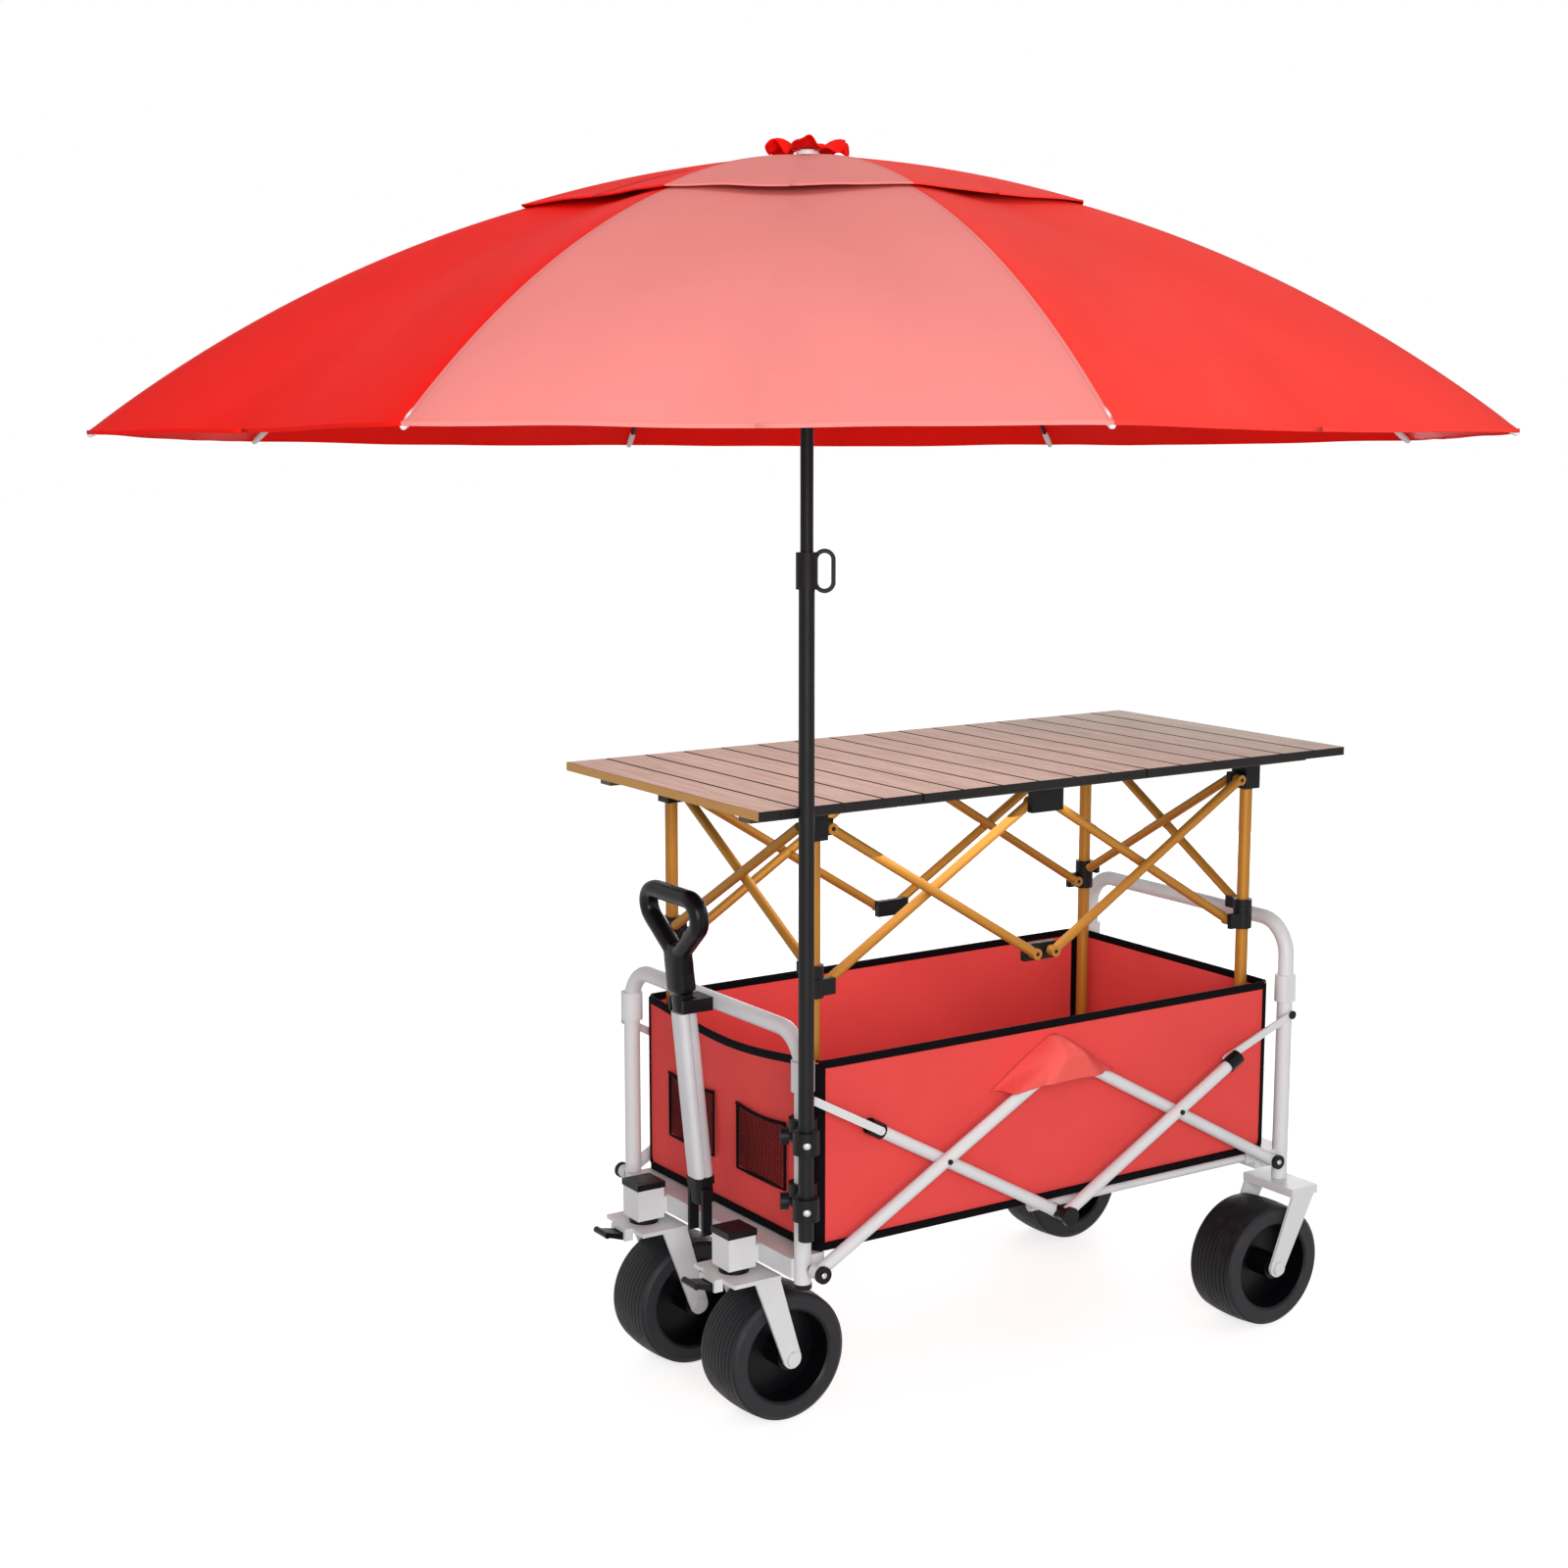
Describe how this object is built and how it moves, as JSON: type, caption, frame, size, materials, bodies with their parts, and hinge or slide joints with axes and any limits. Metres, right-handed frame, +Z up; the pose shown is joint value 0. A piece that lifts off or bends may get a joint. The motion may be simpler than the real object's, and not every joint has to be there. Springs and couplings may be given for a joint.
{
  "type": "folding vending cart",
  "caption": "Folding wagon cart with a cloth tub, swivelling front casters, a slatted roll-up table on crossed legs and a tilted parasol clamped to a corner post.",
  "frame": {"origin": "on the floor under the centre of the cloth tub", "axes": "+X from the handle end to the rear end, +Z up, Y across the cart; the pole stands at the negative X, negative Y corner"},
  "size_m": [1.9341, 1.7898, 1.8245],
  "materials": {
    "white_paint": "powder coat",
    "black_plastic": "matte",
    "tub_cloth": "woven polyester",
    "canopy_cloth": "coated polyester",
    "gold_tube": "satin anodised",
    "slat": "fine grain",
    "tyre": "ribbed",
    "handle_tube": "grooved",
    "rib_black": "gloss"
  },
  "bodies": {
    "front_end": {"front_frame": "white_paint", "front_fittings": "black_plastic", "tub": "tub_cloth", "umbrella_clamps": "black_plastic", "lower_pole": "rib_black", "table_front_legs": "gold_tube", "table_front_brackets": "black_plastic", "top_panel_front": "slat"},
    "handle_tube": {"handle_outer": "handle_tube"},
    "handle_slider": {"handle_inner": "handle_tube", "handle_grip": "black_plastic"},
    "caster_left": {"caster_fork_left": "white_paint"},
    "caster_right": {"caster_fork_right": "white_paint"},
    "front_wheel_left": {"wheel_front_left": "tyre"},
    "front_wheel_right": {"wheel_front_right": "tyre"},
    "rear_wheel_left": {"wheel_rear_left": "tyre"},
    "rear_wheel_right": {"wheel_rear_right": "tyre"},
    "pedal_left": {"brake_pedal_left": "black_plastic"},
    "pedal_right": {"brake_pedal_right": "black_plastic"},
    "rear_end": {"rear_frame": "white_paint", "rear_fittings": "black_plastic"},
    "link_a": {"link_front_rising": "white_paint"},
    "link_b": {"link_front_falling": "white_paint"},
    "link_c": {"link_rear_rising": "white_paint"},
    "link_d": {"link_rear_falling": "white_paint"},
    "front_stays": {"stay_front": "white_paint"},
    "rear_stays": {"stay_rear": "white_paint"},
    "rails": {"floor_rails": "white_paint"},
    "table_rear": {"table_rear_legs": "gold_tube", "table_rear_brackets": "black_plastic"},
    "table_link_p": {"table_link_front_hanging": "gold_tube"},
    "table_link_q": {"table_link_front_standing": "gold_tube"},
    "table_link_r": {"table_link_rear_standing": "gold_tube"},
    "table_link_s": {"table_link_rear_hanging": "gold_tube"},
    "mid_top_block": {"table_mid_top": "black_plastic"},
    "mid_bottom_block": {"table_mid_bottom": "black_plastic"},
    "slider_front": {"table_slider_front": "black_plastic"},
    "slider_rear": {"table_slider_rear": "black_plastic"},
    "panel_middle": {"top_panel_middle": "slat"},
    "panel_rear": {"top_panel_rear": "slat"},
    "mast_head": {"upper_pole": "rib_black", "crown": "rib_black", "canopy": "canopy_cloth"},
    "runner": {"runner": "black_plastic"},
    "rib_1": {"rib_1": "rib_black"},
    "stretcher_1": {"stretcher_1": "rib_black"},
    "rib_2": {"rib_2": "rib_black"},
    "stretcher_2": {"stretcher_2": "rib_black"},
    "rib_3": {"rib_3": "rib_black"},
    "stretcher_3": {"stretcher_3": "rib_black"},
    "rib_4": {"rib_4": "rib_black"},
    "stretcher_4": {"stretcher_4": "rib_black"},
    "rib_5": {"rib_5": "rib_black"},
    "stretcher_5": {"stretcher_5": "rib_black"},
    "rib_6": {"rib_6": "rib_black"},
    "stretcher_6": {"stretcher_6": "rib_black"},
    "rib_7": {"rib_7": "rib_black"},
    "stretcher_7": {"stretcher_7": "rib_black"},
    "rib_8": {"rib_8": "rib_black"},
    "stretcher_8": {"stretcher_8": "rib_black"}
  },
  "joints": [
    {"name": "cart_fold", "type": "hinge", "parent": "front_end", "child": "link_a", "pos_m": [-0.461, 0, 0.262], "axis": [0, -1, 0], "range_deg": [0, 48], "deforming": ["tub"]},
    {"name": "fold_link_d", "type": "hinge", "parent": "link_a", "child": "link_d", "pos_m": [-0.0075, 0, 0.512], "axis": [0, -1, 0], "range_deg": [-96, 0]},
    {"name": "fold_rear_end", "type": "hinge", "parent": "link_d", "child": "rear_end", "pos_m": [0.446, 0, 0.262], "axis": [0, -1, 0], "range_deg": [0, 48]},
    {"name": "fold_link_b", "type": "hinge", "parent": "link_a", "child": "link_b", "pos_m": [-0.23425, 0, 0.387], "axis": [0, -1, 0], "range_deg": [-96, 0]},
    {"name": "fold_link_c", "type": "hinge", "parent": "link_d", "child": "link_c", "pos_m": [0.21925, 0, 0.387], "axis": [0, -1, 0], "range_deg": [0, 96]},
    {"name": "fold_front_stays", "type": "hinge", "parent": "front_end", "child": "front_stays", "pos_m": [-0.464, 0, 0.513], "axis": [0, -1, 0], "range_deg": [0, 104.43]},
    {"name": "fold_rear_stays", "type": "hinge", "parent": "rear_end", "child": "rear_stays", "pos_m": [0.474, 0, 0.502], "axis": [0, -1, 0], "range_deg": [-87.91, 0]},
    {"name": "fold_rails", "type": "hinge", "parent": "rear_end", "child": "rails", "pos_m": [0.414, 0, 0.2652], "axis": [0, -1, 0], "range_deg": [-82, 0]},
    {"name": "fold_table_p", "type": "hinge", "parent": "front_end", "child": "table_link_p", "pos_m": [-0.394, 0, 0.886], "axis": [0, -1, 0], "range_deg": [-53.52, 0]},
    {"name": "fold_table_q", "type": "hinge", "parent": "table_link_p", "child": "table_link_q", "pos_m": [-0.206, 0, 0.771], "axis": [0, -1, 0], "range_deg": [0, 107.04]},
    {"name": "fold_mid_bottom", "type": "hinge", "parent": "table_link_p", "child": "mid_bottom_block", "pos_m": [-0.018, 0, 0.656], "axis": [0, -1, 0], "range_deg": [0, 53.52]},
    {"name": "fold_table_s", "type": "hinge", "parent": "mid_bottom_block", "child": "table_link_s", "pos_m": [0.018, 0, 0.656], "axis": [0, -1, 0], "range_deg": [0, 53.52]},
    {"name": "fold_table_rear", "type": "hinge", "parent": "table_link_s", "child": "table_rear", "pos_m": [0.394, 0, 0.886], "axis": [0, -1, 0], "range_deg": [-53.52, 0]},
    {"name": "fold_table_r", "type": "hinge", "parent": "table_link_s", "child": "table_link_r", "pos_m": [0.206, 0, 0.771], "axis": [0, -1, 0], "range_deg": [-107.04, 0]},
    {"name": "fold_mid_top", "type": "hinge", "parent": "table_link_q", "child": "mid_top_block", "pos_m": [-0.018, 0, 0.886], "axis": [0, -1, 0], "range_deg": [-53.52, 0]},
    {"name": "fold_slider_front", "type": "hinge", "parent": "table_link_q", "child": "slider_front", "pos_m": [-0.394, 0, 0.656], "axis": [0, -1, 0], "range_deg": [-53.52, 0]},
    {"name": "fold_slider_rear", "type": "hinge", "parent": "table_link_r", "child": "slider_rear", "pos_m": [0.394, 0, 0.656], "axis": [0, -1, 0], "range_deg": [0, 53.52]},
    {"name": "fold_panel_middle", "type": "hinge", "parent": "front_end", "child": "panel_middle", "pos_m": [-0.28, 0, 0.934], "axis": [0, -1, 0], "range_deg": [0, 82]},
    {"name": "fold_panel_rear", "type": "hinge", "parent": "panel_middle", "child": "panel_rear", "pos_m": [0.14, 0, 0.907], "axis": [0, -1, 0], "range_deg": [-164, 0]},
    {"name": "umbrella_close", "type": "hinge", "parent": "mast_head", "child": "rib_1", "pos_m": [-0.4543, -0.26531, 1.78894], "axis": [-0.2587, -0.9654, 0.0331], "range_deg": [-33, 0], "deforming": ["canopy"]},
    {"name": "stretcher_1_hinge", "type": "hinge", "parent": "rib_1", "child": "stretcher_1", "pos_m": [-0.14192, -0.35117, 1.72608], "axis": [-0.2587, -0.9654, 0.0331], "range_deg": [0, 66]},
    {"name": "rib_2_hinge", "type": "hinge", "parent": "mast_head", "child": "rib_2", "pos_m": [-0.45629, -0.25014, 1.78854], "axis": [0.5, -0.8659, 0.0156], "range_deg": [-33, 0]},
    {"name": "stretcher_2_hinge", "type": "hinge", "parent": "rib_2", "child": "stretcher_2", "pos_m": [-0.17637, -0.08975, 1.71913], "axis": [0.5, -0.8659, 0.0156], "range_deg": [0, 66]},
    {"name": "rib_3_hinge", "type": "hinge", "parent": "mast_head", "child": "rib_3", "pos_m": [-0.46844, -0.24082, 1.7885], "axis": [0.9658, -0.2592, -0.0111], "range_deg": [-33, 0]},
    {"name": "stretcher_3_hinge", "type": "hinge", "parent": "rib_3", "child": "stretcher_3", "pos_m": [-0.38561, 0.07085, 1.71848], "axis": [0.9658, -0.2592, -0.0111], "range_deg": [0, 66]},
    {"name": "rib_4_hinge", "type": "hinge", "parent": "mast_head", "child": "rib_4", "pos_m": [-0.48361, -0.24281, 1.78885], "axis": [0.8658, 0.4994, -0.0312], "range_deg": [-33, 0]},
    {"name": "stretcher_4_hinge", "type": "hinge", "parent": "rib_4", "child": "stretcher_4", "pos_m": [-0.64706, 0.03655, 1.72452], "axis": [0.8658, 0.4994, -0.0312], "range_deg": [0, 66]},
    {"name": "rib_5_hinge", "type": "hinge", "parent": "mast_head", "child": "rib_5", "pos_m": [-0.49293, -0.25495, 1.78939], "axis": [0.2587, 0.9654, -0.0331], "range_deg": [-33, 0]},
    {"name": "stretcher_5_hinge", "type": "hinge", "parent": "rib_5", "child": "stretcher_5", "pos_m": [-0.80758, -0.17254, 1.7337], "axis": [0.2587, 0.9654, -0.0331], "range_deg": [0, 66]},
    {"name": "rib_6_hinge", "type": "hinge", "parent": "mast_head", "child": "rib_6", "pos_m": [-0.49093, -0.27012, 1.78979], "axis": [-0.5, 0.8659, -0.0156], "range_deg": [-33, 0]},
    {"name": "stretcher_6_hinge", "type": "hinge", "parent": "rib_6", "child": "stretcher_6", "pos_m": [-0.77314, -0.43396, 1.74065], "axis": [-0.5, 0.8659, -0.0156], "range_deg": [0, 66]},
    {"name": "rib_7_hinge", "type": "hinge", "parent": "mast_head", "child": "rib_7", "pos_m": [-0.47878, -0.27944, 1.78983], "axis": [-0.9658, 0.2592, 0.0111], "range_deg": [-33, 0]},
    {"name": "stretcher_7_hinge", "type": "hinge", "parent": "rib_7", "child": "stretcher_7", "pos_m": [-0.5639, -0.59456, 1.7413], "axis": [-0.9658, 0.2592, 0.0111], "range_deg": [0, 66]},
    {"name": "rib_8_hinge", "type": "hinge", "parent": "mast_head", "child": "rib_8", "pos_m": [-0.46361, -0.27745, 1.78948], "axis": [-0.8658, -0.4994, 0.0312], "range_deg": [-33, 0]},
    {"name": "stretcher_8_hinge", "type": "hinge", "parent": "rib_8", "child": "stretcher_8", "pos_m": [-0.30244, -0.56027, 1.73526], "axis": [-0.8658, -0.4994, 0.0312], "range_deg": [0, 66]},
    {"name": "runner_hinge", "type": "hinge", "parent": "stretcher_1", "child": "runner", "pos_m": [-0.45658, -0.26876, 1.67039], "axis": [-0.2587, -0.9654, 0.0331], "range_deg": [-33, 0]},
    {"name": "mast_slide", "type": "slide", "parent": "front_end", "child": "mast_head", "axis": [0.0193, 0.0291, 0.9994], "range_m": [0, 0.25]},
    {"name": "handle_tilt", "type": "hinge", "parent": "front_end", "child": "handle_tube", "pos_m": [-0.486, 0, 0.306], "axis": [0, -1, 0], "range_deg": [0, 65]},
    {"name": "handle_slide", "type": "slide", "parent": "handle_tube", "child": "handle_slider", "axis": [-0.1045, 0, 0.9945], "range_m": [0, 0.1]},
    {"name": "caster_swivel_left", "type": "hinge", "parent": "front_end", "child": "caster_left", "pos_m": [-0.512, -0.13, 0.24], "axis": [0, 0, 1], "continuous": true},
    {"name": "front_wheel_spin_left", "type": "hinge", "parent": "caster_left", "child": "front_wheel_left", "pos_m": [-0.446, -0.13, 0.1], "axis": [0, 1, 0], "continuous": true},
    {"name": "rear_wheel_spin_left", "type": "hinge", "parent": "rear_end", "child": "rear_wheel_left", "pos_m": [0.415, -0.248, 0.1], "axis": [0, 1, 0], "continuous": true},
    {"name": "brake_pedal_left", "type": "hinge", "parent": "caster_left", "child": "pedal_left", "pos_m": [-0.552, -0.13, 0.219], "axis": [0, -1, 0], "range_deg": [0, 12]},
    {"name": "caster_swivel_right", "type": "hinge", "parent": "front_end", "child": "caster_right", "pos_m": [-0.512, 0.13, 0.24], "axis": [0, 0, 1], "continuous": true},
    {"name": "front_wheel_spin_right", "type": "hinge", "parent": "caster_right", "child": "front_wheel_right", "pos_m": [-0.446, 0.13, 0.1], "axis": [0, 1, 0], "continuous": true},
    {"name": "rear_wheel_spin_right", "type": "hinge", "parent": "rear_end", "child": "rear_wheel_right", "pos_m": [0.415, 0.248, 0.1], "axis": [0, 1, 0], "continuous": true},
    {"name": "brake_pedal_right", "type": "hinge", "parent": "caster_right", "child": "pedal_right", "pos_m": [-0.552, 0.13, 0.219], "axis": [0, -1, 0], "range_deg": [0, 12]}
  ],
  "couplings": [
    {"joint": "fold_link_d", "follows": "cart_fold", "ratio": -2},
    {"joint": "fold_rear_end", "follows": "cart_fold", "ratio": 1},
    {"joint": "fold_link_b", "follows": "cart_fold", "ratio": -2},
    {"joint": "fold_link_c", "follows": "cart_fold", "ratio": 2},
    {"joint": "fold_front_stays", "follows": "cart_fold", "ratio": 2.1757},
    {"joint": "fold_rear_stays", "follows": "cart_fold", "ratio": -1.8314},
    {"joint": "fold_rails", "follows": "cart_fold", "ratio": -1.7083},
    {"joint": "fold_table_p", "follows": "cart_fold", "ratio": -1.115},
    {"joint": "fold_table_q", "follows": "cart_fold", "ratio": 2.23},
    {"joint": "fold_mid_bottom", "follows": "cart_fold", "ratio": 1.115},
    {"joint": "fold_table_s", "follows": "cart_fold", "ratio": 1.115},
    {"joint": "fold_table_rear", "follows": "cart_fold", "ratio": -1.115},
    {"joint": "fold_table_r", "follows": "cart_fold", "ratio": -2.23},
    {"joint": "fold_mid_top", "follows": "cart_fold", "ratio": -1.115},
    {"joint": "fold_slider_front", "follows": "cart_fold", "ratio": -1.115},
    {"joint": "fold_slider_rear", "follows": "cart_fold", "ratio": 1.115},
    {"joint": "fold_panel_middle", "follows": "cart_fold", "ratio": 1.7083},
    {"joint": "fold_panel_rear", "follows": "cart_fold", "ratio": -3.4167},
    {"joint": "stretcher_1_hinge", "follows": "umbrella_close", "ratio": -2},
    {"joint": "rib_2_hinge", "follows": "umbrella_close", "ratio": 1},
    {"joint": "stretcher_2_hinge", "follows": "umbrella_close", "ratio": -2},
    {"joint": "rib_3_hinge", "follows": "umbrella_close", "ratio": 1},
    {"joint": "stretcher_3_hinge", "follows": "umbrella_close", "ratio": -2},
    {"joint": "rib_4_hinge", "follows": "umbrella_close", "ratio": 1},
    {"joint": "stretcher_4_hinge", "follows": "umbrella_close", "ratio": -2},
    {"joint": "rib_5_hinge", "follows": "umbrella_close", "ratio": 1},
    {"joint": "stretcher_5_hinge", "follows": "umbrella_close", "ratio": -2},
    {"joint": "rib_6_hinge", "follows": "umbrella_close", "ratio": 1},
    {"joint": "stretcher_6_hinge", "follows": "umbrella_close", "ratio": -2},
    {"joint": "rib_7_hinge", "follows": "umbrella_close", "ratio": 1},
    {"joint": "stretcher_7_hinge", "follows": "umbrella_close", "ratio": -2},
    {"joint": "rib_8_hinge", "follows": "umbrella_close", "ratio": 1},
    {"joint": "stretcher_8_hinge", "follows": "umbrella_close", "ratio": -2},
    {"joint": "runner_hinge", "follows": "umbrella_close", "ratio": 1}
  ]
}
